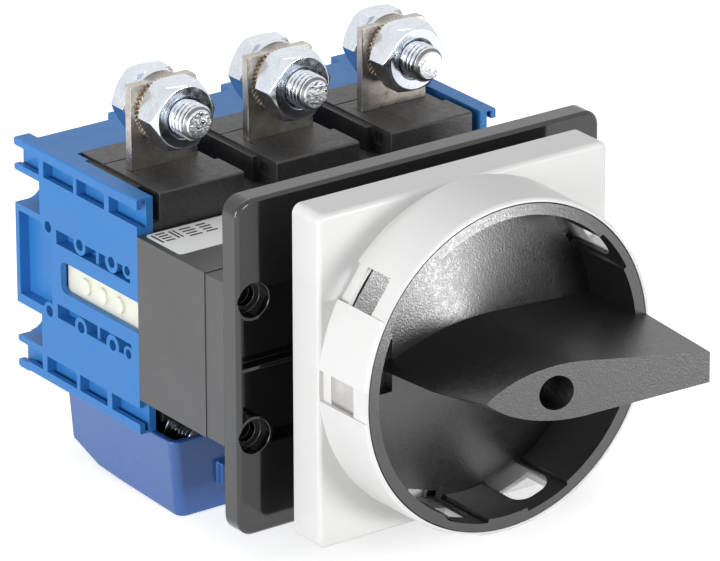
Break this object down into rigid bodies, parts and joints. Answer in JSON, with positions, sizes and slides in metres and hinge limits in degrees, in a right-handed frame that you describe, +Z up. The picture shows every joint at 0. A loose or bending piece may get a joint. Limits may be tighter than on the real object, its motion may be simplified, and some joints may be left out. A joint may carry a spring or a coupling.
{
  "type": "rotary cam switch",
  "caption": "Door-mounted rotary cam switch with padlockable handle, light grey escutcheon, black mounting frame, blue contact housing and bolted line terminals.",
  "frame": {"origin": "on the handle's axis, in the plane of the panel screws' seats, 4 mm behind the front face of the black mounting frame", "axes": "+X to the right seen from the front, +Y to the rear along the shaft, +Z up towards the line terminals"},
  "size_m": [0.111, 0.1635, 0.108],
  "materials": {
    "blue_housing": "satin moulded thermoplastic",
    "blue_cover": "glossy slightly translucent dark blue",
    "black_plastic": "fine-grained matte black",
    "black_gloss": "glossy black",
    "light_grey_plastic": "smooth light grey",
    "black_handle": "satin black with fine grain",
    "nylon": "off-white translucent nylon",
    "tinned_copper": "dull tin plating on copper",
    "copper": "bare copper alloy",
    "silver_contact": "silver alloy",
    "zinc_steel": "bright blue zinc plating",
    "spring_steel": "bright spring steel",
    "machined_steel": "drawn steel bar"
  },
  "bodies": {
    "switch_base": {"arc_plates": "machined_steel", "contact_housing": "blue_housing", "detent_springs": "spring_steel", "escutcheon": "light_grey_plastic", "escutcheon_screws": "zinc_steel", "fixed_tips": "silver_contact", "line_bolts": "zinc_steel", "line_cap_1": "black_plastic", "line_cap_2": "black_plastic", "line_cap_3": "black_plastic", "line_flat_washers": "zinc_steel", "line_lock_washers": "zinc_steel", "line_nuts": "zinc_steel", "line_terminal_1": "tinned_copper", "line_terminal_2": "tinned_copper", "line_terminal_3": "tinned_copper", "load_bolts": "zinc_steel", "load_cap_1": "black_plastic", "load_cap_2": "black_plastic", "load_cap_3": "black_plastic", "load_flat_washers": "zinc_steel", "load_lock_washers": "zinc_steel", "load_nuts": "zinc_steel", "load_terminal_1": "tinned_copper", "load_terminal_2": "tinned_copper", "load_terminal_3": "tinned_copper", "locking_ring": "spring_steel", "locking_strip": "spring_steel", "mechanism_cover": "black_plastic", "mechanism_housing": "black_plastic", "mounting_frame": "black_gloss", "terminal_cover": "blue_cover"},
    "rotor": {"handle": "black_handle", "handle_screw": "zinc_steel", "handle_washer": "zinc_steel", "drive_shaft": "machined_steel", "shaft_bush": "nylon", "detent_disc": "nylon", "barrel_cam": "nylon"},
    "carrier": {"contact_carrier": "nylon", "follower_pins": "machined_steel", "contact_spring_1": "spring_steel", "contact_spring_2": "spring_steel", "contact_spring_3": "spring_steel"},
    "bridge_1": {"contact_bridge_1": "copper", "moving_tips_1": "silver_contact"},
    "bridge_2": {"contact_bridge_2": "copper", "moving_tips_2": "silver_contact"},
    "bridge_3": {"contact_bridge_3": "copper", "moving_tips_3": "silver_contact"}
  },
  "joints": [
    {"name": "handle_turn", "type": "hinge", "parent": "switch_base", "child": "rotor", "pos_m": [0, 0, 0], "axis": [0, 1, 0], "range_deg": [0, 90], "deforming": ["detent_springs"]},
    {"name": "carrier_slide", "type": "slide", "parent": "switch_base", "child": "carrier", "axis": [0, 1, 0], "range_m": [-0.00601, 0]},
    {"name": "bridge_1_float", "type": "slide", "parent": "carrier", "child": "bridge_1", "axis": [0, 1, 0], "range_m": [0, 0.0015], "stiffness_N_per_m": 1500, "deforming": ["contact_spring_1"]},
    {"name": "bridge_2_float", "type": "slide", "parent": "carrier", "child": "bridge_2", "axis": [0, 1, 0], "range_m": [0, 0.0015], "stiffness_N_per_m": 1500, "deforming": ["contact_spring_2"]},
    {"name": "bridge_3_float", "type": "slide", "parent": "carrier", "child": "bridge_3", "axis": [0, 1, 0], "range_m": [0, 0.0015], "stiffness_N_per_m": 1500, "deforming": ["contact_spring_3"]}
  ],
  "couplings": [
    {"joint": "carrier_slide", "follows": "handle_turn", "m_per_rad": -0.0038197}
  ]
}
